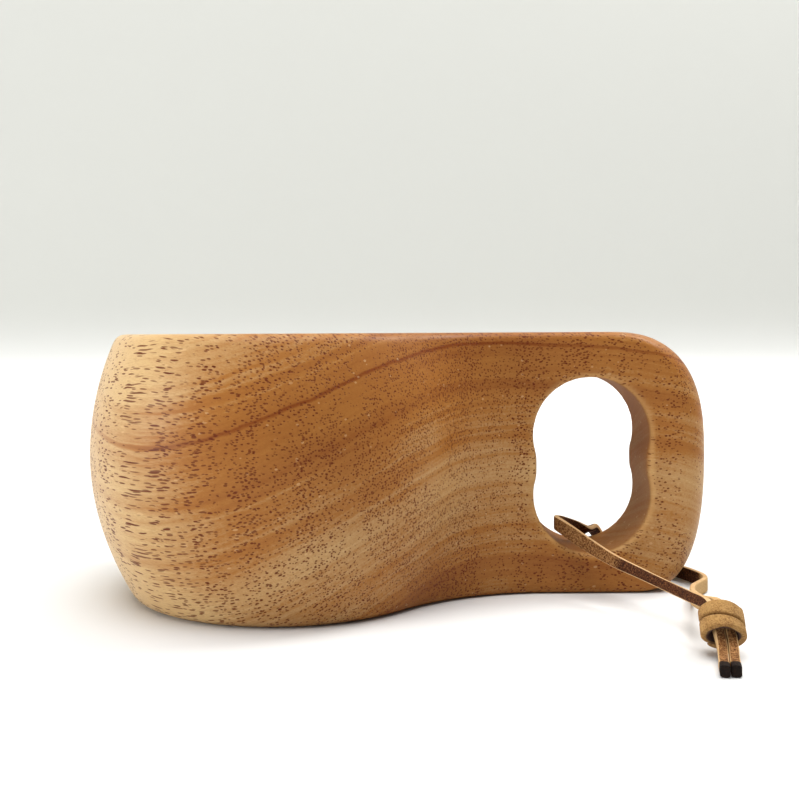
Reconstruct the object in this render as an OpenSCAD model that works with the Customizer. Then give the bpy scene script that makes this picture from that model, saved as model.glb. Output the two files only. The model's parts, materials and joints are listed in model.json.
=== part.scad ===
// Kuksa: a drinking cup carved from one piece of wood, with a two-finger hole through
// its flat handle and a leather lace whose two ends run through a wound leather bead.
// +Z is up, +X runs from the bowl to the handle, and the drinker's side faces -Y.

/* [Cup] */
// Length of the cup, from the back of the bowl to the end of the handle
cup_l = 144; // [136:1:174]
// Height of the cup, from the flat foot to the flat rim
cup_h = 60; // [56:1:74]
// Outer radius of the bowl at its belly
belly_r = 44.5; // [42:0.5:54]
// Height of the belly, the widest ring of the bowl
belly_z = 33; // [28:1:40]
// Outer radius of the bowl at the rim
rim_r = 38.5; // [36:0.5:42]
// Outer radius of the bowl at the foot, before its edge is rounded
foot_r = 36; // [32:0.5:40]
// How far the foot's centre is set towards the handle
foot_shift = 1.5; // [0:0.5:3]
// Thickness of the bowl's wall
wall = 5; // [4:0.5:6]
// Thickness of wood under the drink
floor_t = 7; // [5:0.5:12]
// Radius where the inner wall turns into the inner floor
well_round = 16; // [10:1:20]
// Radius of the outer edge round the rim
lip_round = 1.6; // [1:0.2:2.4]
// Radius of the edge round the foot
foot_round = 1.6; // [1:0.2:2.4]

/* [Handle] */
// Thickness of the handle
handle_t = 19.8; // [16:0.2:26]
// Radius of the hollow between bowl and handle, at the foot
hollow_foot_r = 45; // [38:1:50]
// Radius of the hollow between bowl and handle, at the belly
hollow_belly_r = 28; // [22:1:36]
// Radius of the hollow between bowl and handle, at the rim
hollow_rim_r = 42; // [28:1:46]
// Length of the rounded end of the handle, seen from above
end_round = 7; // [5:0.5:10]
// How far the handle's end draws in towards its top
end_top_in = 22; // [14:1:24]
// How far the handle's end draws in towards the foot
end_foot_in = 14; // [10:1:18]
// Fullness of the handle's end: higher is squarer
end_full = 2.5; // [2:0.1:3.5]

/* [Finger hole] */
// Radius of each finger's lobe in the middle of the handle
finger_r = 13.4; // [10:0.2:14]
// Height of the lower lobe's centre
finger_low_z = 22.6; // [21:0.2:26]
// Distance between the centres of the two lobes
finger_pitch = 13.6; // [11:0.2:16]
// Distance from the lobes' centre line to the end of the handle
finger_in = 28; // [27:0.5:31]
// How far the waist between the lobes stands proud of their sides
waist_in = 0.8; // [0.4:0.1:1.4]

/* [Lace] */
// Width of the leather lace
lace_w = 3.2; // [2.6:0.1:3.4]
// Thickness of the leather lace
lace_t = 1.2; // [1:0.1:1.4]
// Height of the lace where it is squeezed through the bead
squeezed_w = 2.1; // [1.8:0.1:2.2]
// Width of the lace where it is squeezed through the bead
squeezed_t = 1.6; // [1.3:0.1:1.7]

/* [Bead] */
// Radius of the hole through the wound bead
bead_bore_r = 2.7; // [2.6:0.1:3]
// Thickness of the leather that the bead is wound from
bead_wall = 1.4; // [1.2:0.1:1.6]
// Length of the bead, two turns side by side
bead_l = 5.2; // [4.6:0.2:6]
// Turns of leather that lie side by side along the bead
bead_turns = 2; // [2:1:3]
// Depth of the groove between two turns
turn_groove = 0.5; // [0.3:0.1:0.8]
// How far the bead's front dips towards the ground, in degrees
bead_dip = 40; // [34:1:46]
// How far the bead is turned from facing the drinker, in degrees
bead_turn = -10; // [-16:1:-4]

/* [Hidden] */

// The origin is under the middle of the cup's length.
handle_out = cup_l / 2;
bowl_back = cup_l / 2 - belly_r;
half_t = handle_t / 2;
hole_x = handle_out - finger_in;
bead_r = bead_bore_r + bead_wall;
// Reach of a cutter past the faces that it opens.
past = 6;

// How many steps the rings and their outlines are laid out in.
EDGE_STEPS = 4;
LOW_STEPS = 7;
HIGH_STEPS = 8;
BOWL_STEPS = 22;
HOLLOW_STEPS = 9;
SIDE_STEPS = 2;
END_STEPS = 8;

// 0 at the belly, 1 at the rim and at the foot.
function above(z) = max(0, (z - belly_z) / (cup_h - belly_z));
function below(z) = max(0, (belly_z - z) / belly_z);
function swept(z, at_foot, at_belly, at_rim) =
    at_belly + (at_foot - at_belly) * below(z) ^ 2 + (at_rim - at_belly) * above(z) ^ 2;

// How far a rounded edge of radius r draws in at distance d from the flat face.
function edge_in(d, r) = d >= r ? 0 : r - sqrt(r ^ 2 - (r - d) ^ 2);
function edges_in(z) = edge_in(z, foot_round) + edge_in(cup_h - z, lip_round);

function bowl_r(z) = swept(z, foot_r, belly_r, rim_r) - edges_in(z);
function bowl_x(z) = -bowl_back + foot_shift * below(z) ^ 2;
function side_y(z) = half_t - edges_in(z);
function hollow_r(z) = swept(z, hollow_foot_r, hollow_belly_r, hollow_rim_r);

// Where the handle ends: full at the belly's height, drawn in towards top and foot.
function draw(u) = 1 - (1 - min(1, u) ^ end_full) ^ (1 / end_full);
function end_x(z) =
    handle_out - end_top_in * draw(above(z)) - end_foot_in * draw(below(z));

// Half of one ring, from the back of the bowl to the end of the handle.
function half_ring(z) =
    let (
        r = bowl_r(z),
        cx = bowl_x(z),
        y = side_y(z),
        h = hollow_r(z),
        hx = cx + sqrt((r + h) ^ 2 - (y + h) ^ 2),
        meet = atan2(y + h, hx - cx),
        tip = end_x(z)
    )
    concat(
        [for (i = [0 : BOWL_STEPS])
            let (a = 180 + (meet - 180) * i / BOWL_STEPS)
            [cx + r * cos(a), r * sin(a)]],
        [for (i = [1 : HOLLOW_STEPS])
            let (a = 180 + meet + (90 - meet) * i / HOLLOW_STEPS)
            [hx + h * cos(a), y + h + h * sin(a)]],
        [for (i = [1 : SIDE_STEPS])
            [hx + (tip - end_round - hx) * i / SIDE_STEPS, y]],
        [for (i = [1 : END_STEPS])
            let (a = 90 - 90 * i / END_STEPS)
            [tip - end_round + end_round * cos(a), y * sin(a)]]
    );

// A whole ring at height z: the half ring, then its mirror image back to the start.
function ring(z) =
    let (half = half_ring(z), n = len(half))
    concat(
        [for (p = half) [p.x, p.y, z]],
        [for (i = [n - 2 : -1 : 1]) [half[i].x, -half[i].y, z]]
    );

// A closed skin over rings of n points each: a flat face at either end, and between
// two rings two triangles to each cell.
function skin(rings) =
    let (n = len(rings[0]), last = len(rings) - 1)
    concat(
        [[for (i = [0 : n - 1]) i]],
        [[for (i = [n - 1 : -1 : 0]) n * last + i]],
        [for (k = [0 : last - 1], i = [0 : n - 1])
            let (a = k * n + i, b = k * n + (i + 1) % n)
            each [[b + n, b, a], [a + n, b + n, a]]]
    );

// Heights of the rings: closest where the foot, the rim and the handle's end turn.
function ring_heights() =
    let (low = foot_round, high = cup_h - lip_round)
    concat(
        [for (i = [0 : EDGE_STEPS - 1]) foot_round * (1 - cos(90 * i / EDGE_STEPS))],
        [for (i = [0 : LOW_STEPS - 1])
            belly_z - (belly_z - low) * cos(90 * i / LOW_STEPS)],
        [for (i = [0 : HIGH_STEPS])
            belly_z + (high - belly_z) * sin(90 * i / HIGH_STEPS)],
        [for (i = [EDGE_STEPS - 1 : -1 : 0])
            cup_h - lip_round * (1 - cos(90 * i / EDGE_STEPS))]
    );

module outer_form() {
    rings = [for (z = ring_heights()) ring(z)];
    polyhedron(points = [for (r = rings) each r], faces = skin(rings), convexity = 8);
}

// The inner wall follows the outer one at the wall's thickness, and turns into the
// inner floor on an arc that starts where the wall is tangent to it.
function inner_r(z) = swept(z, foot_r, belly_r, rim_r) - wall;

module drink_space() {
    turn_z = floor_t + well_round;
    wall_steps = 12;
    floor_steps = 8;
    side = [for (i = [0 : wall_steps])
        let (z = turn_z + (cup_h - turn_z) * i / wall_steps)
        [inner_r(z), z]];
    corner = [for (i = [0 : floor_steps - 1])
        let (a = -90 + 90 * i / floor_steps)
        [inner_r(turn_z) - well_round + well_round * cos(a), turn_z + well_round * sin(a)]];
    translate([-bowl_back, 0, 0])
        rotate_extrude($fn = 96)
            polygon(concat(
                [[0, floor_t]],
                corner,
                side,
                [[inner_r(cup_h), cup_h + past], [0, cup_h + past]]
            ));
}

// Two round lobes, one over the other, joined by a straight waist.
module finger_hole() {
    waist_w = 2 * (finger_r - waist_in);
    translate([hole_x, 0, finger_low_z])
        rotate([90, 0, 0])
            linear_extrude(handle_t + 2 * past, center = true) {
                for (z = [0, finger_pitch])
                    translate([0, z])
                        circle(finger_r, $fn = 72);
                translate([-waist_w / 2, 0])
                    square([waist_w, finger_pitch]);
            }
}

module cup_body() {
    color([0.78, 0.58, 0.36])
        difference() {
            outer_form();
            drink_space();
            finger_hole();
        }
}

// The lace's route: [x, y, z, roll, squeeze]. Roll turns the strip about its run: at 0
// it stands on edge. Squeeze is 1 where the lace is packed into the bead, else 0.
LACE = [
    [56, -66, 1.2, 0, 1],
    [57, -62, 1.4, 0, 1],
    [58, -58.5, 2.2, 0, 1],
    [58.5, -55.5, 3.8, 0, 1],
    [58.5, -53.5, 5.4, 0, 1],
    [58.5, -51, 7, 0, 1],
    [58.5, -47.5, 7.8, 15, 0.95],
    [57.5, -41, 7.4, 22, 0.9],
    [55.5, -34, 7.4, 25, 0.9],
    [51.5, -26.5, 8.4, 22, 0.8],
    [46.5, -19.5, 10, 15, 0.5],
    [41.5, -14, 12.6, 8, 0.1],
    [37.5, -11, 15.2, 0, 0],
    [36, -8, 16, 0, 0],
    [37.5, -4.5, 15.4, 5, 0],
    [41.5, 1.5, 13.3, 20, 0],
    [45.2, 6.5, 11.3, 55, 0],
    [47.7, 10.4, 11.3, 70, 0],
    [50.2, 12.6, 8.1, 75, 0],
    [53.6, 13.2, 4.2, 55, 0],
    [57.8, 13, 2.3, 20, 0],
    [62.5, 10.5, 1.8, 0, 0],
    [66.5, 5.5, 1.8, 0, 0],
    [69, 0.5, 1.8, 0, 0],
    [70.5, -4.5, 1.8, 0, 0],
    [70, -8.5, 1.8, 0, 0],
    [67.5, -12, 1.8, 0, 0],
    [65, -16.5, 2.2, 0, 0],
    [63, -23, 2.8, 0, 0],
    [62, -30, 3.8, 0, 0],
    [61, -37, 5.2, 0, 0.2],
    [60.5, -43, 6.8, 0, 0.6],
    [60.5, -47.5, 7.8, 0, 0.9],
    [60.5, -51, 7, 0, 1],
    [60.5, -53.5, 5.4, 0, 1],
    [60.5, -55.5, 3.8, 0, 1],
    [60, -58.5, 2.2, 0, 1],
    [59, -62, 1.4, 0, 1],
    [58, -66, 1.2, 0, 1]
];
RINGS_PER_SPAN = 2;

// The route is laid out for a handle that ends at x 72, is 19.8 thick and has its finger
// hole's floor 9.2 up. On other sizes its points move with the handle's end, its two
// faces and the hole's floor. Points on the table and in the bead aren't lifted.
LAID_OUT = 72;
LAID_HALF_T = 9.9;
LAID_FLOOR = 9.2;
LOW_POINT = 4.6;
LIFT_SPAN = 5;
LIFT_FROM_Y = -41;
LIFT_RUN = 20;
function share(u) = max(0, min(1, u));
function lifted(p) = share((p[2] - LOW_POINT) / LIFT_SPAN) * share((p[1] - LIFT_FROM_Y) / LIFT_RUN);
function fitted(p) = [
    p[0] + handle_out - LAID_OUT,
    p[1] + (half_t - LAID_HALF_T) * max(-1, min(1, p[1] / LAID_HALF_T)),
    p[2] + (finger_low_z - finger_r - LAID_FLOOR) * lifted(p),
    p[3],
    p[4]
];

// A smooth curve through the route's points: t runs from 0 to 1 between b and c.
function through(a, b, c, d, t) =
    0.5 * (2 * b + (c - a) * t + (2 * a - 5 * b + 4 * c - d) * t ^ 2
        + (3 * b - a - 3 * c + d) * t ^ 3);

function smoothed(route) =
    let (last = len(route) - 1)
    concat(
        [for (i = [0 : last - 1], k = [0 : RINGS_PER_SPAN - 1])
            through(route[max(i - 1, 0)], route[i], route[i + 1], route[min(i + 2, last)],
                k / RINGS_PER_SPAN)],
        [route[last]]
    );

function place(p) = [p[0], p[1], p[2]];
function unit(v) = v / norm(v);

// Eight corners of the strip's section, in shares of its half width and half thickness.
SECTION = [[1, 0.5], [0.85, 1], [-0.85, 1], [-1, 0.5], [-1, -0.5], [-0.85, -1],
    [0.85, -1], [1, -0.5]];

function lace_ring(points, i) =
    let (
        last = len(points) - 1,
        run = unit(place(points[min(i + 1, last)]) - place(points[max(i - 1, 0)])),
        across = unit(cross(run, [0, 0, 1])),
        up = cross(across, run),
        roll = points[i][3],
        squeeze = points[i][4],
        wide = up * cos(roll) + across * sin(roll),
        thick = cross(run, wide),
        half_w = (lace_w + (squeezed_w - lace_w) * squeeze) / 2,
        half_d = (lace_t + (squeezed_t - lace_t) * squeeze) / 2
    )
    [for (c = SECTION) place(points[i]) + wide * half_w * c.x + thick * half_d * c.y];

module lace() {
    points = smoothed([for (p = LACE) fitted(p)]);
    rings = [for (i = [0 : len(points) - 1]) lace_ring(points, i)];
    color([0.62, 0.43, 0.25])
        polyhedron(points = [for (r = rings) each r], faces = skin(rings), convexity = 12);
}

// The bead's middle, laid out with the lace's route.
BEAD_LAID = [59.5, -53.5, 5.7, 0, 1];

// The bead is wound from a strip: each turn is a band with rounded shoulders.
module bead() {
    turn_w = bead_l / bead_turns;
    waist_r = bead_r - turn_groove;
    shoulder = turn_groove;
    color([0.8, 0.62, 0.35])
        translate(place(fitted(BEAD_LAID)))
            rotate([0, 0, bead_turn])
                rotate([90 + bead_dip, 0, 0])
                    difference() {
                        rotate_extrude($fn = 64)
                            polygon(concat(
                                [[0, -bead_l / 2]],
                                [for (k = [0 : bead_turns - 1])
                                    let (z = -bead_l / 2 + k * turn_w)
                                    each [
                                        [waist_r, z],
                                        [bead_r, z + shoulder],
                                        [bead_r, z + turn_w - shoulder],
                                        [waist_r, z + turn_w]
                                    ]],
                                [[0, bead_l / 2]]
                            ));
                        cylinder(h = bead_l + 2 * past, r = bead_bore_r, center = true, $fn = 64);
                    }
}

cup_body();
lace();
bead();
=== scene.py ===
# %% [markdown]
# # A carved wooden cup with a leather lace
#
# The cup is one piece of wood: a round bowl, a flat handle and a hole for two fingers.
# A leather lace runs through the hole, and a small bead wound from leather holds its
# two ends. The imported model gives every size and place, in metres. This lesson gives
# the three pieces their real surface: shape first, then finish.

# %% The fixed frame
import json
import math

import bpy
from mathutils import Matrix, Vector

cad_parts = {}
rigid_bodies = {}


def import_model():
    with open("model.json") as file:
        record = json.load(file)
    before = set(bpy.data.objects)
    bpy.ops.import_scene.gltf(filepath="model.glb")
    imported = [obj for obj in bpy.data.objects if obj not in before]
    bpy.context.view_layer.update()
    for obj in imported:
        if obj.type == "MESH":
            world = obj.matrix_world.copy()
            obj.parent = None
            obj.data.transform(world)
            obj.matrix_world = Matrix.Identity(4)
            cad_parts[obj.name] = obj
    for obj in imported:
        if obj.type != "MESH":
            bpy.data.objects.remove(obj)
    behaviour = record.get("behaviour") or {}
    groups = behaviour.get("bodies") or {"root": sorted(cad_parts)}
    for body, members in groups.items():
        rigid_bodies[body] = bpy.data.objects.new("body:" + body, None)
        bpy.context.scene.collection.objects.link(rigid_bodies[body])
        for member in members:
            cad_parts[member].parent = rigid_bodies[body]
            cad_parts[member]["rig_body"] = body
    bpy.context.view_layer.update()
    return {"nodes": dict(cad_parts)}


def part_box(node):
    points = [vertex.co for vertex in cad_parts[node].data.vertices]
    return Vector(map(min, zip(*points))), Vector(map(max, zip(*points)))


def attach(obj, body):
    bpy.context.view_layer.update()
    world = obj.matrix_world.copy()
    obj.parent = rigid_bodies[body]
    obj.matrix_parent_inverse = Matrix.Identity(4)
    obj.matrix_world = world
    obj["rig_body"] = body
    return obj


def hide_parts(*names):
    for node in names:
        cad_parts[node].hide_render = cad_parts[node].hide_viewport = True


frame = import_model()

MM = 0.001
cup_low, cup_high = (Vector(corner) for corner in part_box("cup_body"))
cup_size = [round(side / MM, 2) for side in cup_high - cup_low]
print("cup", cup_size, "mm")

# %% [markdown]
# ## The camera
#
# The eye is level with the rim, so the cup shows its side and the rim closes to a line.
# It stands close, which makes the round bowl look much nearer than the flat handle.
# The lens looks straight ahead and is shifted down a little, as on a view camera, so
# that upright lines stay upright. The slight roll is that of a camera held by hand.

# %% Camera
LENS_MM, SENSOR_MM = 45.056, 36.0
EYE_BACK = 239 * MM
SHIFT_DOWN = 0.08385
ROLL_DEG = 0.3

camera_data = bpy.data.cameras.new("camera")
camera_data.sensor_width = SENSOR_MM
camera_data.lens = LENS_MM
camera_data.shift_y = -SHIFT_DOWN
camera = bpy.data.objects.new("camera", camera_data)
bpy.context.scene.collection.objects.link(camera)
camera.location = (0.0, -EYE_BACK, cup_high.z)
camera.rotation_euler = (math.radians(90), math.radians(ROLL_DEG), 0.0)
bpy.context.scene.camera = camera
print("lens", LENS_MM, "mm, eye at", round(camera.location.z / MM), "mm")

# %% [markdown]
# ## A small notation for materials
#
# A finish is mostly arithmetic on patterns. Drawn as nodes it is hard to read, so a
# small class wraps a socket and turns + - * / into Math nodes. Colours and vectors go
# through their own nodes, and any other node comes from one method, `add`.

# %% Shader notation
class Wire:
    """A value in a node tree. Arithmetic on it adds Math nodes."""

    def __init__(self, finish, socket):
        self.finish = finish
        self.socket = socket

    def math(self, operation, *others):
        return self.finish.add("ShaderNodeMath", {"operation": operation}, [self, *others])

    def __add__(self, other):
        return self.math("ADD", other)

    __radd__ = __add__

    def __mul__(self, other):
        return self.math("MULTIPLY", other)

    __rmul__ = __mul__

    def __sub__(self, other):
        return self.math("SUBTRACT", other)

    def __rsub__(self, other):
        return self.finish.add("ShaderNodeMath", {"operation": "SUBTRACT"}, [other, self])

    def __truediv__(self, other):
        return self.math("DIVIDE", other)

    def __pow__(self, other):
        return self.math("POWER", other)

    def __abs__(self):
        return self.math("ABSOLUTE")

    def sqrt(self):
        return self.math("SQRT")

    def least(self, other):
        return self.math("MINIMUM", other)

    def most(self, other):
        return self.math("MAXIMUM", other)

    def ramp(self, start, end):
        """0 at start and before, 1 at end and past it, smooth between."""
        settings = {"interpolation_type": "SMOOTHSTEP", "clamp": True}
        values = {"Value": self, "From Min": start, "From Max": end}
        return self.finish.add("ShaderNodeMapRange", settings, values)


class Finish:
    """One material, built up from nodes."""

    def __init__(self, name):
        self.material = bpy.data.materials.new(name)
        self.material.use_nodes = True
        self.nodes = self.material.node_tree.nodes
        self.links = self.material.node_tree.links
        self.surface = self.nodes["Principled BSDF"]

    def feed(self, socket, value):
        if isinstance(value, Wire):
            self.links.new(value.socket, socket)
        else:
            socket.default_value = value

    def add(self, kind, settings=None, values=(), out=0):
        node = self.nodes.new(kind)
        for name, value in (settings or {}).items():
            if name == "stops":
                ramp = node.color_ramp
                for place, colour in value[1:-1]:
                    ramp.elements.new(place).color = (*colour, 1.0)
                ends = (ramp.elements[0], value[0]), (ramp.elements[-1], value[-1])
                for element, (place, colour) in ends:
                    element.position = place
                    element.color = (*colour, 1.0)
            else:
                setattr(node, name, value)
        pairs = values.items() if isinstance(values, dict) else enumerate(values)
        for key, value in pairs:
            self.feed(node.inputs[key], value)
        return Wire(self, node.outputs[out])

    def mix(self, share, first, second, blend="MIX"):
        """Colour between first and second, or blended by the named mode."""
        node = self.nodes.new("ShaderNodeMix")
        node.data_type = "RGBA"
        node.blend_type = blend
        for key, value in ((0, share), (6, first), (7, second)):
            self.feed(node.inputs[key], (*value, 1.0) if isinstance(value, tuple) else value)
        return Wire(self, node.outputs[2])

    def vector(self, operation, *values, out=0):
        return self.add("ShaderNodeVectorMath", {"operation": operation}, values, out)

    def dot(self, vector, direction):
        return self.vector("DOT_PRODUCT", vector, direction, out=1)

    def join(self, x, y, z):
        return self.add("ShaderNodeCombineXYZ", None, [x, y, z])

    def noise(self, place, scale, detail=2.0, rough=0.5, out=0):
        values = {"Vector": place, "Scale": scale, "Detail": detail, "Roughness": rough}
        return self.add("ShaderNodeTexNoise", None, values, out)

    def bump(self, height, distance, strength=1.0):
        values = {"Height": height, "Distance": distance, "Strength": strength}
        return self.add("ShaderNodeBump", None, values)


# %% [markdown]
# ## The lace's route
#
# The lace is one flat strip of leather. It starts at one cut end on the table, goes up
# through the bead, rises to the finger hole, folds there, drops behind the handle,
# runs round the handle's foot and comes back through the bead to its other end.
# A strip stands on edge or lies flat, so each point of the route also says how far it
# is rolled, in degrees, and how much the strip is squeezed, as it is inside the bead.

# %% Route
LACE_W, LACE_T = 3.2 * MM, 1.2 * MM
SQUEEZED_W, SQUEEZED_T = 2.1 * MM, 1.75 * MM
ROUTE_MM = [
    (56, -66, 1.2, 0, 1),
    (57, -62, 1.4, 0, 1),
    (58, -58.5, 2.2, 0, 1),
    (58.5, -55.5, 3.8, 0, 1),
    (58.5, -53.5, 5.4, 0, 1),
    (58.5, -51, 7, 0, 1),
    (58.5, -47.5, 7.8, 15, 0.95),
    (57.5, -41, 7.4, 22, 0.9),
    (55.5, -34, 7.4, 25, 0.9),
    (51.5, -26.5, 8.4, 22, 0.8),
    (46.5, -19.5, 10, 15, 0.5),
    (41.5, -14, 12.6, 8, 0.1),
    (37.5, -11, 15.2, 0, 0),
    (36, -8, 16, 0, 0),
    (37.5, -4.5, 15.4, 5, 0),
    (41.5, 1.5, 13.3, 20, 0),
    (45.2, 6.5, 11.3, 55, 0),
    (47.7, 10.4, 11.3, 70, 0),
    (50.2, 12.6, 8.1, 75, 0),
    (53.6, 13.2, 4.2, 55, 0),
    (57.8, 13, 2.3, 20, 0),
    (62.5, 10.5, 1.8, 0, 0),
    (66.5, 5.5, 1.8, 0, 0),
    (69, 0.5, 1.8, 0, 0),
    (70.5, -4.5, 1.8, 0, 0),
    (70, -8.5, 1.8, 0, 0),
    (67.5, -12, 1.8, 0, 0),
    (65, -16.5, 2.2, 0, 0),
    (63, -23, 2.8, 0, 0),
    (62, -30, 3.8, 0, 0),
    (61, -37, 5.2, 0, 0.2),
    (60.5, -43, 6.8, 0, 0.6),
    (60.5, -47.5, 7.8, 0, 0.9),
    (60.5, -51, 7, 0, 1),
    (60.5, -53.5, 5.4, 0, 1),
    (60.5, -55.5, 3.8, 0, 1),
    (60, -58.5, 2.2, 0, 1),
    (59, -62, 1.4, 0, 1),
    (58, -66, 1.2, 0, 1),
]


def through(a, b, c, d, t):
    """A smooth curve through b and c, for t from 0 to 1."""
    return tuple(
        0.5 * (2 * q + (r - p) * t + (2 * p - 5 * q + 4 * r - s) * t**2
               + (3 * q - p - 3 * r + s) * t**3)
        for p, q, r, s in zip(a, b, c, d)
    )


def smoothed(route, steps):
    last = len(route) - 1
    points = []
    for i in range(last):
        around = [route[min(max(i + k, 0), last)] for k in (-1, 0, 1, 2)]
        points += [through(*around, step / steps) for step in range(steps)]
    return points + [route[last]]


STEPS_PER_SPAN = 12
stations = smoothed(ROUTE_MM, STEPS_PER_SPAN)
centres = [Vector(s[:3]) * MM for s in stations]
lace_length = sum((b - a).length for a, b in zip(centres, centres[1:]))
print("lace", round(1000 * lace_length), "mm long")

# %% [markdown]
# ## The lace as a strip
#
# A curve with a bevel would keep one section all along. This strip has to roll over and
# to be squeezed, so its skin is swept: a ring of points round the rectangle at every
# station. The map that goes with it runs along the lace in one direction and round it
# in the other, so that the finish can tell the two faces from the cut edges.

# %% Sweep
FACE_STEPS, EDGE_STEPS = 8, 4
CORNER = 0.16


def strip_section():
    """Points round a square from -1 to 1, more of them on the wide faces."""
    sides = [((1, -1), (1, 1), EDGE_STEPS), ((1, 1), (-1, 1), FACE_STEPS),
             ((-1, 1), (-1, -1), EDGE_STEPS), ((-1, -1), (1, -1), FACE_STEPS)]
    points = []
    for start, end, steps in sides:
        for i in range(steps):
            t = i / steps
            points.append(tuple(start[k] + (end[k] - start[k]) * t for k in (0, 1)))
    return points


SECTION = strip_section()


def strip_frames():
    """At each station: its centre, the strip's wide and thick directions, and their half sizes."""
    frames = []
    last = len(centres) - 1
    for i, station in enumerate(stations):
        run = (centres[min(i + 1, last)] - centres[max(i - 1, 0)]).normalized()
        across = run.cross(Vector((0, 0, 1))).normalized()
        up = across.cross(run)
        roll, squeeze = math.radians(station[3]), station[4]
        wide = up * math.cos(roll) + across * math.sin(roll)
        thick = run.cross(wide)
        half_w = (LACE_W + (SQUEEZED_W - LACE_W) * squeeze) / 2
        half_t = (LACE_T + (SQUEEZED_T - LACE_T) * squeeze) / 2
        frames.append((centres[i], wide * half_w, thick * half_t))
    return frames


def round_corner(x, y, half_w, half_t):
    """Draws a corner of the section in, by the same amount whatever the strip's sizes."""
    ease = CORNER * half_t
    if abs(abs(x) - 1) < 1e-6 and abs(abs(y) - 1) < 1e-6:
        return x * (1 - ease / half_w), y * (1 - ease / half_t)
    return x, y


def sweep_lace():
    frames = strip_frames()
    n = len(SECTION)
    vertices, faces, map_rows = [], [], []
    along = 0.0
    for i, (centre, wide, thick) in enumerate(frames):
        if i:
            along += (centre - frames[i - 1][0]).length
        for x, y in SECTION:
            x, y = round_corner(x, y, wide.length, thick.length)
            vertices.append(centre + wide * x + thick * y)
        map_rows.append(along / MM)
    for i in range(len(frames) - 1):
        for k in range(n):
            a, b = i * n + k, i * n + (k + 1) % n
            faces.append((a, b, b + n, a + n))
    mesh = bpy.data.meshes.new("lace")
    mesh.from_pydata(vertices, [], faces)
    layer = mesh.uv_layers.new(name="strip")
    for face in mesh.polygons:
        i, k = divmod(face.index, n)
        corners = ((i, k), (i, k + 1), (i + 1, k + 1), (i + 1, k))
        for loop, (row, column) in zip(face.loop_indices, corners):
            layer.data[loop].uv = (map_rows[row], column / n)
    return mesh


lace = bpy.data.objects.new("leather_lace", sweep_lace())
bpy.context.scene.collection.objects.link(lace)
print("lace skin", len(lace.data.polygons), "faces")

# %% [markdown]
# The sweep leaves the two ends open. Each end is closed as by hand: pick the open edge
# loop and fill it. Shading by angle keeps the cut end's border crisp.

# %% Close the lace's ends


def only(piece):
    """Makes one piece the active and only selected one."""
    if bpy.context.mode != "OBJECT":
        bpy.ops.object.mode_set(mode="OBJECT")
    bpy.ops.object.select_all(action="DESELECT")
    piece.select_set(True)
    bpy.context.view_layer.objects.active = piece


def edit(piece, kind="VERT"):
    """Opens a piece in edit mode with nothing selected."""
    only(piece)
    bpy.ops.object.mode_set(mode="EDIT")
    bpy.ops.mesh.select_mode(type=kind)
    bpy.ops.mesh.select_all(action="DESELECT")


edit(lace)
bpy.ops.mesh.select_non_manifold()
bpy.ops.mesh.edge_face_add()
bpy.ops.mesh.select_all(action="SELECT")
bpy.ops.mesh.normals_make_consistent(inside=False)
bpy.ops.object.mode_set(mode="OBJECT")
bpy.ops.object.shade_smooth_by_angle(angle=math.radians(50))

lace_body = frame["nodes"]["lace"]["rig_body"]
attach(lace, lace_body)
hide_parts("lace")
print("lace ends closed")

# %% [markdown]
# ## The leather of the lace
#
# The strip is cut from tanned hide. Its brown is a fine speckle, and its cut edges show
# the pale middle of the hide. On two stretches the dark grain side is turned out, and there
# the lace also carries painted shade: where it faces away from the light, and inside its
# fold at the finger hole. From the bend behind the handle to the bead the lace is worn tan.
# In the tails the strip lies flat, so there the pale edges are at its sides. Both tips
# are painted nearly black as shade, where the cut ends face down towards the table.

# %% Lace leather
TIP_SHADE_MM = 2.2
TAILS_MM = 13.0
GRAIN_SIDE_AND_SHADE_MM = ((15.0, 50.0), (73.0, 128.0))
TAN_MM = (129.0, 181.0)
length_mm = lace_length / MM

leather = Finish("lace_leather")
strip = leather.add("ShaderNodeSeparateXYZ", None, [leather.add("ShaderNodeUVMap", {"uv_map": "strip"})])
along = strip
around = Wire(leather, strip.socket.node.outputs[1])
place = leather.vector("SCALE", leather.add("ShaderNodeTexCoord", out=3))
place.socket.node.inputs["Scale"].default_value = 1 / MM
speckle = leather.noise(place, 2.8, 4.0, 0.8)
clouds = leather.noise(place, 0.35, 2.0, 0.5)
fibres = leather.noise(place, 6.0, 2.0, 0.6)


def stretch(start, end, ease=1.5):
    """1 along one stretch of the lace, with a soft and uneven border."""
    here = along + (speckle - 0.5) * 3.0
    return here.ramp(start - ease, start + ease) * here.ramp(end + ease, end - ease)


edge_half = EDGE_STEPS / (2 * (FACE_STEPS + EDGE_STEPS)) / 2
edge_soft = 0.006
first_edge = abs(around - edge_half).ramp(edge_half + edge_soft, edge_half - edge_soft)
second_edge = abs(around - (0.5 + edge_half)).ramp(edge_half + edge_soft, edge_half - edge_soft)
on_edge = first_edge.most(second_edge)
from_end = along.least(length_mm - along)
tails = from_end.ramp(TAILS_MM + 1, TAILS_MM - 1)
cut_edge = on_edge * (1.0 - tails) + (1.0 - on_edge) * tails
# Painted shade, partly the dark grain side: two stretches of the lace, where it faces away from the
# light and inside its fold at the finger hole.
grain_side_and_shade = stretch(*GRAIN_SIDE_AND_SHADE_MM[0]).most(stretch(*GRAIN_SIDE_AND_SHADE_MM[1]))
worn = stretch(*TAN_MM, ease=0.6)

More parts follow.
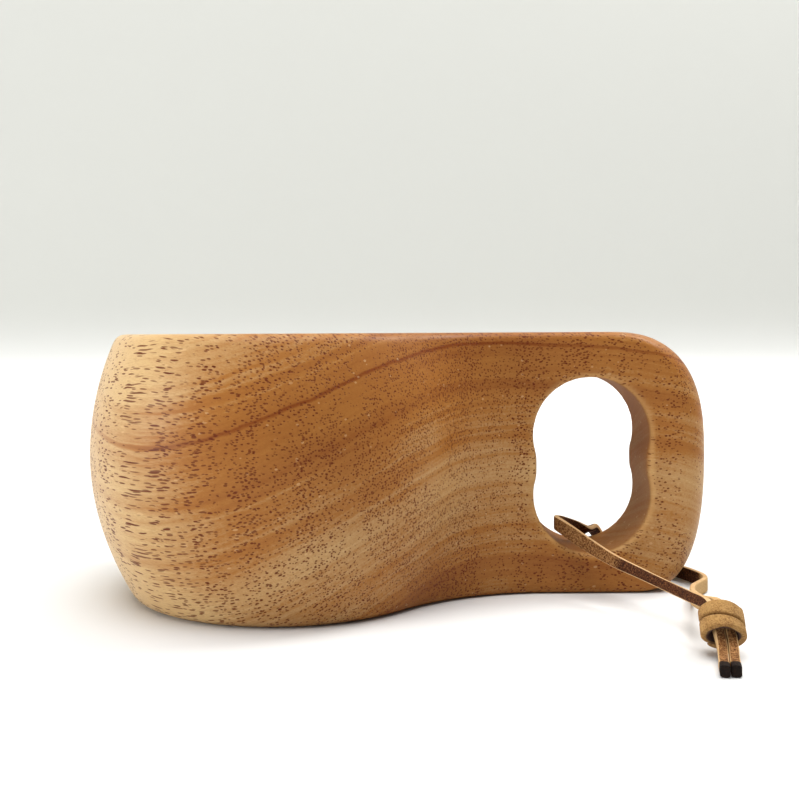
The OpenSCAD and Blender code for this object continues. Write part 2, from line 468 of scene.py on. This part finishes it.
brown_stops = [(0.40, (0.060, 0.018, 0.005)), (0.50, (0.20, 0.080, 0.022)), (0.62, (0.40, 0.21, 0.080))]
grain_side_shade_stops = [(0.42, (0.020, 0.006, 0.002)), (0.52, (0.070, 0.020, 0.006)), (0.64, (0.20, 0.080, 0.028))]
tan_stops = [(0.30, (0.42, 0.24, 0.085)), (0.7, (0.64, 0.42, 0.19))]
pale_stops = [(0.30, (0.48, 0.27, 0.10)), (0.7, (0.74, 0.50, 0.26))]
brown = leather.add("ShaderNodeValToRGB", {"stops": brown_stops}, [speckle])
grain_side_shaded = leather.add("ShaderNodeValToRGB", {"stops": grain_side_shade_stops}, [speckle])
tan = leather.add("ShaderNodeValToRGB", {"stops": tan_stops}, [speckle])
pale = leather.add("ShaderNodeValToRGB", {"stops": pale_stops}, [speckle * 0.5 + clouds * 0.5])
# The two dark stretches take the darker colours: the grain side with painted shade on it.
skin = leather.mix(worn, leather.mix(grain_side_and_shade, brown, grain_side_shaded), tan)
skin = leather.mix(cut_edge, skin, pale)
# Painted shade: the last few millimetres at each end, where the cut ends face down towards the table,
# are drawn nearly black.
tip_shade = from_end.ramp(TIP_SHADE_MM + 0.2, TIP_SHADE_MM - 0.2)
tip_shade_colour = leather.mix(speckle.ramp(0.45, 0.75), (0.006, 0.003, 0.002), (0.035, 0.016, 0.008))
skin = leather.mix(tip_shade, skin, tip_shade_colour)
leather.feed(leather.surface.inputs["Base Color"], skin)
leather.feed(leather.surface.inputs["Roughness"], fibres * 0.2 + 0.66)
leather.feed(leather.surface.inputs["Normal"], leather.bump(speckle + fibres * 0.5, 0.0002, 0.8))
leather.surface.inputs["Specular IOR Level"].default_value = 0.15
lace.data.materials.append(leather.material)
print("lace finish", len(leather.nodes), "nodes")

# %% [markdown]
# ## The bead
#
# The bead is a narrow strip of the same hide wound round the two ends of the lace.
# Its section is a rounded rectangle. The Screw modifier winds the section about an
# axis, with more turns than are needed, and two flat cuts give it square ends. The
# dark line between the turns is a real gap.

# %% Wind the bead
BEAD_BORE, BEAD_OUT, BEAD_L = 2.7 * MM, 4.1 * MM, 5.2 * MM
BEAD_AT = Vector((59.5, -53.5, 5.7)) * MM
BEAD_DIP, BEAD_TURN = 40, -10
STRIP_W = 3.3 * MM
STRIP_GAP = 0.34 * MM
WOUND_TURNS = 4
strip_thick = BEAD_OUT - BEAD_BORE

only(lace)
bpy.ops.mesh.primitive_plane_add(size=1, location=((BEAD_BORE + BEAD_OUT) / 2, 0, 0))
bead = bpy.context.object
bead.name = "wound_bead"
edit(bead)
bpy.ops.mesh.select_all(action="SELECT")
bpy.ops.transform.rotate(value=math.radians(90), orient_axis="X", center_override=bead.location)
bpy.ops.transform.resize(value=(strip_thick, 1, STRIP_W - STRIP_GAP), center_override=bead.location)
bpy.ops.mesh.bevel(offset=0.42 * MM, segments=4, affect="VERTICES")
bpy.ops.mesh.delete(type="ONLY_FACE")
bpy.ops.object.mode_set(mode="OBJECT")
bpy.ops.object.transform_apply(location=True, rotation=True, scale=True)


def apply(piece, kind, **settings):
    """Adds one modifier to a piece and applies it."""
    only(piece)
    modifier = piece.modifiers.new(kind.lower(), kind)
    for name, value in settings.items():
        setattr(modifier, name, value)
    bpy.ops.object.modifier_apply(modifier=modifier.name)


apply(bead, "SCREW", axis="Z", angle=2 * math.pi * WOUND_TURNS, screw_offset=-STRIP_W * WOUND_TURNS,
      steps=72 * WOUND_TURNS, render_steps=72 * WOUND_TURNS, use_merge_vertices=False)
edit(bead)
bpy.ops.mesh.select_non_manifold()
bpy.ops.mesh.edge_face_add()
bpy.ops.mesh.select_all(action="SELECT")
bpy.ops.mesh.normals_make_consistent(inside=False)
bpy.ops.object.mode_set(mode="OBJECT")
print("wound", [round(1000 * x, 1) for x in bead.dimensions], "mm")

# %% [markdown]
# The winding is cut square by taking what it shares with a plain drum of the bead's
# length. It is then turned to lie on the lace, with its open mouth to the front.

# %% Cut and place the bead
bpy.ops.mesh.primitive_cylinder_add(vertices=96, radius=2 * BEAD_OUT, depth=BEAD_L,
                                    location=(0, 0, -STRIP_W * (WOUND_TURNS / 2 - 0.15)))
drum = bpy.context.object
apply(bead, "BOOLEAN", operation="INTERSECT", solver="EXACT", use_self=True, object=drum)
only(bead)
bead.location = -drum.location
bpy.ops.object.transform_apply(location=True, rotation=True, scale=True)
bpy.data.objects.remove(drum)
apply(bead, "BEVEL", width=0.2 * MM, segments=2, limit_method="ANGLE", angle_limit=math.radians(55))
bead.rotation_euler = (math.radians(90 + BEAD_DIP), 0, math.radians(BEAD_TURN))
bead.location = BEAD_AT
only(bead)
bpy.ops.object.transform_apply(location=True, rotation=True, scale=True)
bpy.ops.object.shade_smooth_by_angle(angle=math.radians(40))
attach(bead, "bead")
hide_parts("bead")
print("bead", len(bead.data.polygons), "faces")

# %% [markdown]
# The bead's leather is the pale suede side, turned out. It is golden tan with a fine
# mottle, darker in the bore and deep in the gap. How near a point lies to the bead's
# axis tells the outside from the bore, so that distance is stored on the mesh.

# %% Bead leather
axis_turn = bpy.data.objects.new("turn", None)
axis_turn.rotation_euler = (math.radians(90 + BEAD_DIP), 0, math.radians(BEAD_TURN))
bead_axis = axis_turn.rotation_euler.to_matrix() @ Vector((0, 0, 1))
bpy.data.objects.remove(axis_turn)
reach = bead.data.attributes.new("from_axis", "FLOAT", "POINT")
for vertex in bead.data.vertices:
    arm = vertex.co - BEAD_AT
    reach.data[vertex.index].value = (arm - bead_axis * arm.dot(bead_axis)).length / MM

suede = Finish("bead_leather")
place = suede.vector("SCALE", suede.add("ShaderNodeTexCoord", out=3))
place.socket.node.inputs["Scale"].default_value = 1 / MM
radius = suede.add("ShaderNodeAttribute", {"attribute_name": "from_axis"}, out=2)
mottle = suede.noise(place, 3.2, 4.0, 0.8)
nap = suede.noise(place, 7.0, 3.0, 0.6)
patches = suede.noise(place, 0.5, 2.0, 0.5)
suede_stops = [(0.38, (0.17, 0.064, 0.012)), (0.47, (0.43, 0.215, 0.054)), (0.60, (0.57, 0.33, 0.105))]
colour = suede.add("ShaderNodeValToRGB", {"stops": suede_stops}, [mottle * 0.75 + patches * 0.25])
inside = radius.ramp(3.5, 2.9)
colour = suede.mix(inside, colour, (0.055, 0.018, 0.008))
suede.feed(suede.surface.inputs["Base Color"], colour)
suede.feed(suede.surface.inputs["Roughness"], nap * 0.15 + 0.78)
suede.feed(suede.surface.inputs["Normal"], suede.bump(mottle + nap * 0.6, 0.0004, 1.0))
bead.data.materials.append(suede.material)
print("bead finish", len(suede.nodes), "nodes")

# %% [markdown]
# ## The cup's outside
#
# Seen from above, the cup is a round bowl that narrows by two hollows into a flat
# handle with a rounded end. The outline changes with height: widest a little above the
# middle, drawn in to the rim and to the foot. No primitive has this shape, so the
# outside is built as a stack of outlines, closed at the top and at the foot.

# %% Outlines
CUP_L, CUP_H = cup_size[0], cup_size[2]
BELLY_R, BELLY_Z, RIM_R, FOOT_R, FOOT_SHIFT = 44.5, 33, 38.5, 36, 1.5
WALL, FLOOR_T, WELL_ROUND = 5, 7, 16
LIP_ROUND, FOOT_ROUND = 1.6, 1.6
HALF_T = 9.9
HOLLOW_FOOT, HOLLOW_BELLY, HOLLOW_RIM = 45, 28, 42
END_ROUND, END_TOP_IN, END_FOOT_IN, END_FULL = 7, 22, 14, 2.5
FINGER_R, FINGER_Z, FINGER_PITCH, FINGER_IN, WAIST_IN = 13.4, 22.6, 13.6, 28, 0.8
END_X = CUP_L / 2
BOWL_BACK = END_X - BELLY_R
HOLE_X = END_X - FINGER_IN
BOWL_STEPS, HOLLOW_STEPS, SIDE_STEPS, TIP_STEPS = 64, 28, 20, 20


def above(z):
    return max(0, (z - BELLY_Z) / (CUP_H - BELLY_Z))


def below(z):
    return max(0, (BELLY_Z - z) / BELLY_Z)


def swept(z, foot, belly, rim):
    return belly + (foot - belly) * below(z) ** 2 + (rim - belly) * above(z) ** 2


def rounding(depth, r):
    return 0 if depth >= r else r - math.sqrt(max(0, r * r - (r - depth) ** 2))


def draw(u):
    return 1 - (1 - min(1, u) ** END_FULL) ** (1 / END_FULL)


def outline(z):
    """The outline at height z, from the bowl's far side round to the handle's end and back."""
    drawn_in = rounding(z, FOOT_ROUND) + rounding(CUP_H - z, LIP_ROUND)
    r = swept(z, FOOT_R, BELLY_R, RIM_R) - drawn_in
    x0 = -BOWL_BACK + FOOT_SHIFT * below(z) ** 2
    y = HALF_T - drawn_in
    h = swept(z, HOLLOW_FOOT, HOLLOW_BELLY, HOLLOW_RIM)
    hollow_x = x0 + math.sqrt((r + h) ** 2 - (y + h) ** 2)
    meet = math.atan2(y + h, hollow_x - x0)
    tip = END_X - END_TOP_IN * draw(above(z)) - END_FOOT_IN * draw(below(z))
    half = []
    for i in range(BOWL_STEPS + 1):
        a = math.pi + (meet - math.pi) * i / BOWL_STEPS
        half.append((x0 + r * math.cos(a), r * math.sin(a)))
    for i in range(1, HOLLOW_STEPS + 1):
        a = math.pi + meet + (math.pi / 2 - meet) * i / HOLLOW_STEPS
        half.append((hollow_x + h * math.cos(a), y + h + h * math.sin(a)))
    for i in range(1, SIDE_STEPS + 1):
        half.append((hollow_x + (tip - END_ROUND - hollow_x) * i / SIDE_STEPS, y))
    for i in range(1, TIP_STEPS + 1):
        a = math.pi / 2 * (1 - i / TIP_STEPS)
        half.append((tip - END_ROUND + END_ROUND * math.cos(a), y * math.sin(a)))
    return half + [(x, -y) for x, y in half[-2:0:-1]]


def heights():
    quarter = [i / 6 * math.pi / 2 for i in range(6)]
    foot = [FOOT_ROUND * (1 - math.cos(a)) for a in quarter]
    middle = [FOOT_ROUND + (CUP_H - LIP_ROUND - FOOT_ROUND) * i / 48 for i in range(49)]
    lip = [CUP_H - LIP_ROUND * (1 - math.cos(a)) for a in reversed(quarter)]
    return foot + middle + lip


layers = [[(x, y, z) for x, y in outline(z)] for z in heights()]
print(len(layers), "outlines of", len(layers[0]), "points")

# %% [markdown]
# The outlines become the vertices of one mesh, joined ring to ring. The open rings at
# the foot and at the top are then filled.

# %% Stack the outlines
count = len(layers[0])
vertices = [Vector(point) * MM for layer in layers for point in layer]
faces = []
for start in range(0, (len(layers) - 1) * count, count):
    for k in range(count):
        a, b = start + k, start + (k + 1) % count
        faces.append((a, b, b + count, a + count))
shell = bpy.data.meshes.new("cup")
shell.from_pydata(vertices, [], faces)
cup = bpy.data.objects.new("carved_cup", shell)
bpy.context.scene.collection.objects.link(cup)
edit(cup, "EDGE")
bpy.ops.mesh.select_non_manifold()
bpy.ops.mesh.edge_face_add()
bpy.ops.mesh.select_all(action="SELECT")
bpy.ops.mesh.normals_make_consistent(inside=False)
bpy.ops.object.mode_set(mode="OBJECT")
print("outside", [round(1000 * x) for x in cup.dimensions], "mm")

# %% [markdown]
# ## Hollowing the bowl
#
# The well is turned, so its cutter is one profile spun about the bowl's axis. The wall
# follows the outside at an even thickness, and a wide curve joins it to the floor.

# %% Well


def well_radius(z):
    return swept(z, FOOT_R, BELLY_R, RIM_R) - WALL


turn_z = FLOOR_T + WELL_ROUND
corner_r = well_radius(turn_z) - WELL_ROUND
profile = [(0, FLOOR_T)]
for i in range(17):
    a = math.pi / 2 * i / 16
    profile.append((corner_r + WELL_ROUND * math.sin(a), turn_z - WELL_ROUND * math.cos(a)))
for i in range(1, 25):
    z = turn_z + (CUP_H - turn_z) * i / 24
    profile.append((well_radius(z), z))
profile += [(well_radius(CUP_H), CUP_H + 5), (0, CUP_H + 5)]

line = bpy.data.meshes.new("profile")
line.from_pydata([Vector((r - BOWL_BACK, 0, z)) * MM for r, z in profile],
                 [(i, i + 1) for i in range(len(profile) - 1)], [])
well = bpy.data.objects.new("well", line)
bpy.context.scene.collection.objects.link(well)
edit(well)
bpy.ops.mesh.select_all(action="SELECT")
bpy.ops.mesh.spin(steps=160, angle=2 * math.pi, center=(-BOWL_BACK * MM, 0, 0), axis=(0, 0, 1))
bpy.ops.mesh.select_all(action="SELECT")
bpy.ops.mesh.remove_doubles(threshold=0.00001)
bpy.ops.mesh.normals_make_consistent(inside=False)
bpy.ops.object.mode_set(mode="OBJECT")
print("well cutter", [round(1000 * x) for x in well.dimensions], "mm")

# %% [markdown]
# ## The finger hole
#
# Two fingers pass through the handle one above the other. Two round cutters side by
# side, with a block between them, leave the hole with a slight waist.

# %% Finger hole
CUTTER_L = 40 * MM
hole_cutters = []
for z in (FINGER_Z, FINGER_Z + FINGER_PITCH):
    bpy.ops.mesh.primitive_cylinder_add(vertices=96, radius=FINGER_R * MM, depth=CUTTER_L,
                                        location=(HOLE_X * MM, 0, z * MM), rotation=(math.pi / 2, 0, 0))
    hole_cutters.append(bpy.context.object)
bpy.ops.mesh.primitive_cube_add(size=1, location=(HOLE_X * MM, 0, (FINGER_Z + FINGER_PITCH / 2) * MM),
                                scale=(2 * (FINGER_R - WAIST_IN) * MM, CUTTER_L, FINGER_PITCH * MM))
hole_cutters.append(bpy.context.object)
for cutter in [well] + hole_cutters:
    apply(cup, "BOOLEAN", operation="DIFFERENCE", solver="EXACT", object=cutter)
    bpy.data.objects.remove(cutter)
print("cut", len(cup.data.vertices), "vertices")

# %% [markdown]
# ## Sanding
#
# Sandpaper rounds every arris a little and leaves no flat facets. A voxel remesh gives
# the cup an even skin, and smoothing that skin does what the sandpaper does.

# %% Even skin, eased edges
VOXEL = 0.72 * MM
SANDING_PASSES = 7
apply(cup, "REMESH", mode="VOXEL", voxel_size=VOXEL)
apply(cup, "SMOOTH", factor=0.5, iterations=SANDING_PASSES)
only(cup)
bpy.ops.object.shade_smooth()
cup_triangles = sum(len(face.vertices) - 2 for face in cup.data.polygons)
print("cup skin", cup_triangles, "triangles")

# %% [markdown]
# The finish needs to know where the finger hole's wall and edge run: the wall is painted
# darker as shade, and a pale line runs along the edge. Each vertex keeps two numbers:
# how far inside the hole's wall it is, and how near it lies to the hole's front or back edge.

# %% Mark the finger hole
WALL_SKIN = 1.2
arris = cup.data.attributes.new("arris", "FLOAT", "POINT")
in_hole = cup.data.attributes.new("in_hole", "FLOAT", "POINT")
for vertex in cup.data.vertices:
    x, y, z = vertex.co / MM
    nearest_z = min(max(z, FINGER_Z), FINGER_Z + FINGER_PITCH)
    gap = math.hypot(x - HOLE_X, z - nearest_z) - FINGER_R
    depth = HALF_T - abs(y)
    inside = min(max((depth - 0.2) / 0.9, 0), 1) if gap < WALL_SKIN else 0.0
    in_hole.data[vertex.index].value = inside
    arris.data[vertex.index].value = math.exp(-((gap - 0.2) ** 2 + (depth - 0.25) ** 2) / 0.5)
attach(cup, "cup")
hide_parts("cup_body")
print("marked", len(cup.data.vertices), "vertices")

# %% [markdown]
# ## The wood
#
# The cup is an oiled hardwood, cut so that the grain runs along the cup and a little
# towards the viewer at the handle. Three things make it look like wood. Growth rings are shells
# round the log's axis, which lies below the foot. Pores are short dark vessels along the
# grain: dashes where the surface follows the grain, dots where it crosses it. And the
# whole has slow changes of tone, with fine fibres over all.
#
# First the place of a point in the log: along the grain, and how far from the log's
# axis. A slow noise bends the shells a little, as in any grown tree.

# %% The log's own directions
GRAIN = (0.8, -0.6, 0.0)
ACROSS = (0.6, 0.8, 0.0)
PITH_ACROSS, PITH_Z = 5.0, -42.5

wood = Finish("oiled_wood")
place = wood.vector("SCALE", wood.add("ShaderNodeTexCoord", out=3))
place.socket.node.inputs["Scale"].default_value = 1 / MM
along = wood.dot(place, GRAIN)
across = wood.dot(place, ACROSS)
height = wood.dot(place, (0.0, 0.0, 1.0))
waves = wood.noise(wood.join(along * 0.5, across, height), 0.06, 2.0, 0.5) - 0.5
ripples = wood.noise(wood.join(along * 0.25, across, height), 0.35, 2.0, 0.5) - 0.5
shell_r = ((across - PITH_ACROSS) ** 2.0 + (height - PITH_Z) ** 2.0).sqrt() + across.least(0.0) * 0.05
shell_r = shell_r + waves * 1.4 + ripples * 0.6
print("log axis", GRAIN)

# %% [markdown]
# Each year's wood is palest where it starts and reddest where it ends, in a thin line.
# The years here are unequal, so the rings are placed one by one on a ramp.

# %% Rings
RING_FROM, RING_TO = 40.0, 130.0


def ring(r):
    return (r - RING_FROM) / (RING_TO - RING_FROM)


ring_stops = [
    (ring(45), (0.60,) * 3), (ring(51.5), (0.66,) * 3), (ring(53), (0.48,) * 3),
    (ring(62), (0.32,) * 3), (ring(73), (0.19,) * 3), (ring(80.5), (0.48,) * 3),
    (ring(82), (0.36,) * 3), (ring(87.5), (0.38,) * 3), (ring(90.5), (0.60,) * 3),
    (ring(93), (0.42,) * 3), (ring(99.65), (0.54,) * 3), (ring(99.95), (1.35,) * 3),
    (ring(100.25), (0.60,) * 3), (ring(104.6), (0.40,) * 3), (ring(105.2), (0.62,) * 3),
    (ring(106.2), (0.36,) * 3), (ring(114), (0.20,) * 3),
]
ring_place = wood.add("ShaderNodeMapRange", {"clamp": True},
                      {"Value": shell_r, "From Min": RING_FROM, "From Max": RING_TO})
redness = wood.add("ShaderNodeValToRGB", {"stops": ring_stops}, [ring_place])
fine_rings = wood.noise(wood.join(along * 0.02, shell_r, across * 0.02), 0.9, 3.0, 0.6)
tone_drift = wood.noise(wood.join(along * 0.35, across, height), 0.045, 2.0, 0.5)
fibre = wood.noise(wood.join(along * 0.10, across, height), 2.2, 3.0, 0.6)
fine_fibre = wood.noise(wood.join(along * 0.2, across, height), 5.0, 2.0, 0.6)
print("rings", len(ring_stops))

# %% [markdown]
# Pores are scattered with a cell pattern stretched along the grain. Each cell keeps a
# random number, and only some cells hold a pore: more of them in patches and near the
# rings. Two sizes are laid over each other.

# %% Pores


def pores(length, width, share, drift_seed):
    """1 inside a pore, 0 outside. A pore's depth of colour is its own."""
    cells = wood.join(along * (1 / length) + drift_seed, across * (1 / width), height * (1 / width))
    bend = wood.noise(wood.join(along, across * 0.5, height * 0.5), 0.16, 1.0, 0.5) - 0.5
    cells = wood.vector("ADD", cells, wood.join(0.0, bend * 1.4, bend * 2.0))
    values = {"Vector": cells, "Scale": 1.0, "Randomness": 1.0}
    distance = wood.add("ShaderNodeTexVoronoi", {"feature": "F1"}, values)
    chance = wood.add("ShaderNodeSeparateColor", None, [Wire(wood, distance.socket.node.outputs[1])])
    held = (chance - share).ramp(0.0, -0.02)
    second = Wire(wood, chance.socket.node.outputs[1])
    third = Wire(wood, chance.socket.node.outputs[2])
    size = second * 0.15 + 0.25
    return (distance - size).ramp(0.06, -0.06) * held * (third * 0.3 + 0.7)


patches = wood.noise(wood.join(along * 0.4, across, height), 0.055, 2.0, 0.6)
sparse_end = along.ramp(18.0, 40.0) * height.ramp(34.0, 20.0) * 0.2
crowding = patches.ramp(0.32, 0.62) * 0.38 + redness.ramp(0.45, 0.95) * 0.2 + 0.28 - sparse_end
long_pores = pores(9.0, 0.54, crowding, 0.0)
short_pores = pores(3.6, 0.50, crowding, 7.3)
flecks = pores(2.6, 0.7, 0.04, 3.1)
scratches = wood.noise(wood.join(along * 0.16, across * 1.6, height * 1.6), 1.6, 3.0, 0.7)
print("pores laid")

# %% [markdown]
# The colours: honey for the pale wood, reddish brown for the rings and slow bands, and
# dark red-brown in the pores. The inside of the finger hole is painted darker as shade and
# made rougher, with fewer pores; a pale line runs along the hole's edge. Oil gives a low sheen.

# %% Colour and sheen
HONEY, AMBER, RED_BROWN = (0.58, 0.385, 0.175), (0.36, 0.143, 0.029), (0.185, 0.040, 0.005)
PORE_COLOUR, FLECK_COLOUR = (0.115, 0.017, 0.001), (0.72, 0.48, 0.24)
SPREAD_CENTRE = 0.5
# Partly painted sheen: the tone is less red at the bowl's left end, where the window shines on it, and
# redder towards the middle.
reddening_and_left_sheen = along.ramp(-32.0, 2.0) - along.ramp(30.0, 48.0) * 0.2
tone = redness * 0.85 + (tone_drift - SPREAD_CENTRE) * 0.5 + (fine_rings - SPREAD_CENTRE) * 0.55
# The height term is painted shade: the wood is drawn a little darker towards the rim, against the light
# from above.
tone = tone + (fibre - SPREAD_CENTRE) * 0.3 + reddening_and_left_sheen * 0.34 - 0.20 + (height - 30.0) * 0.003
tone_stops = [(0.08, HONEY), (0.50, AMBER), (1.0, RED_BROWN)]
colour = wood.add("ShaderNodeValToRGB", {"stops": tone_stops}, [tone])
# Painted sheen, partly paler end grain: the bowl's left end is mixed towards a whitish tan.
colour = wood.mix(along.ramp(-18.0, -46.0) * 0.5, colour, (0.70, 0.54, 0.34))
colour = wood.mix(fine_fibre.ramp(0.3, 0.8) * 0.22, colour, (0.22, 0.062, 0.012))
shaded_hole_wall = wood.add("ShaderNodeAttribute", {"attribute_name": "in_hole"}, out=2)
edge = wood.add("ShaderNodeAttribute", {"attribute_name": "arris"}, out=2)
# Painted shade inside the finger hole: its wall is drawn darker brown.
colour = wood.mix(shaded_hole_wall * 0.6, colour, (0.22, 0.080, 0.014))
colour = wood.mix(edge * 0.45, colour, (0.72, 0.44, 0.17))
colour = wood.mix(flecks * 0.35, colour, FLECK_COLOUR)
colour = wood.mix(scratches.ramp(0.56, 0.74) * 0.4, colour, (0.20, 0.065, 0.014))
shown = 1.0 - shaded_hole_wall * 0.85
colour = wood.mix(long_pores * shown, colour, PORE_COLOUR)
colour = wood.mix(short_pores * shown * 0.9, colour, PORE_COLOUR)
depth = fine_fibre * 0.08 - long_pores.most(short_pores) * shown
wood.feed(wood.surface.inputs["Base Color"], colour)
wood.feed(wood.surface.inputs["Roughness"], fibre * 0.12 + 0.40 + shaded_hole_wall * 0.3)
wood.feed(wood.surface.inputs["Normal"], wood.bump(depth, 0.00012, 0.5))
wood.surface.inputs["Specular IOR Level"].default_value = 0.15
wood.feed(wood.surface.inputs["Coat Weight"], 0.04 - shaded_hole_wall * 0.04)
wood.surface.inputs["Coat Roughness"].default_value = 0.3
cup.data.materials.clear()
cup.data.materials.append(wood.material)
print("wood finish", len(wood.nodes), "nodes")

# %% [markdown]
# ## Table and light
#
# The cup stands on white paper that curves up behind it: a plane whose back edge is
# spun up and drawn on as a wall. The wall is greyer, and a weak glow at its foot hides
# where it starts. A wide soft light hangs over the cup and washes the paper out. A
# window on the left lights the side of the bowl, and a small lamp behind on the right
# throws the faint shadows forward and to the left.

# %% Table, backdrop and lights
WALL_Y, SWEEP_R, SWEEP_STEPS = 0.36, 0.05, 48
bpy.ops.mesh.primitive_plane_add(size=1, location=(0, 0, 0))
table = bpy.context.object
table.name = "white_table"
edit(table)
bpy.ops.mesh.select_all(action="SELECT")
bpy.ops.transform.resize(value=(5.0, 2.0, 1), center_override=(0, 0, 0))
bpy.ops.transform.translate(value=(0, WALL_Y - SWEEP_R - 1.0, 0))
edit(table, "EDGE")
bpy.ops.object.mode_set(mode="OBJECT")
back_y = max(vertex.co.y for vertex in table.data.vertices)
for side in table.data.edges:
    side.select = all(abs(table.data.vertices[i].co.y - back_y) < 1e-6 for i in side.vertices)
bpy.ops.object.mode_set(mode="EDIT")
bpy.ops.mesh.spin(steps=SWEEP_STEPS, angle=-math.pi / 2, center=(0, back_y, SWEEP_R), axis=(1, 0, 0))
bpy.ops.mesh.extrude_region_move(TRANSFORM_OT_translate={"value": (0, 0, 1.5)})
bpy.ops.object.mode_set(mode="OBJECT")
print("wall at", [round(v, 2) for v in table.dimensions])

paper = Finish("white_paper")
place = paper.add("ShaderNodeTexCoord", out=3)
height = paper.dot(place, (0.0, 0.0, 1.0))
lift = height.ramp(0.0, 0.085)
paper.feed(paper.surface.inputs["Base Color"], paper.mix(lift, (0.73, 0.73, 0.72), (0.52, 0.525, 0.495)))
lit_wall = height.ramp(0.0, 0.004) * 0.30 - height.ramp(0.004, 0.07) * 0.30
glow = paper.add("ShaderNodeCombineColor", None, [lit_wall] * 3)
paper.feed(paper.surface.inputs["Emission Color"], glow)
paper.surface.inputs["Emission Strength"].default_value = 1.0
paper.surface.inputs["Roughness"].default_value = 0.9
paper.surface.inputs["Specular IOR Level"].default_value = 0.1
table.data.materials.append(paper.material)


def soft_light(name, place, aim, size, watts):
    data = bpy.data.lights.new(name, "AREA")
    data.shape = "DISK"
    data.size = size
    data.energy = watts
    lamp = bpy.data.objects.new(name, data)
    bpy.context.scene.collection.objects.link(lamp)
    lamp.location = place
    lamp.rotation_euler = (Vector(aim) - Vector(place)).to_track_quat("-Z", "Y").to_euler()
    return lamp


soft_light("overhead", (-0.05, -0.20, 1.1), (0.0, -0.05, 0.0), 1.0, 15.0)
soft_light("left_window", (-0.75, -0.28, 0.14), (-0.04, 0.0, 0.03), 0.40, 3.8)
soft_light("behind", (0.50, 0.18, 0.72), (0.0, -0.05, 0.0), 0.32, 4.5)
world = bpy.data.worlds.new("room")
bpy.context.scene.world = world
world.use_nodes = True
world.node_tree.nodes["Background"].inputs["Color"].default_value = (1.0, 1.0, 0.99, 1.0)
world.node_tree.nodes["Background"].inputs["Strength"].default_value = 0.20
bpy.context.scene.view_settings.view_transform = "Standard"
print("lit")

# %% [markdown]
# ## Sizes
#
# The finished pieces must stand where the imported model has them.

# %% End
print("done")
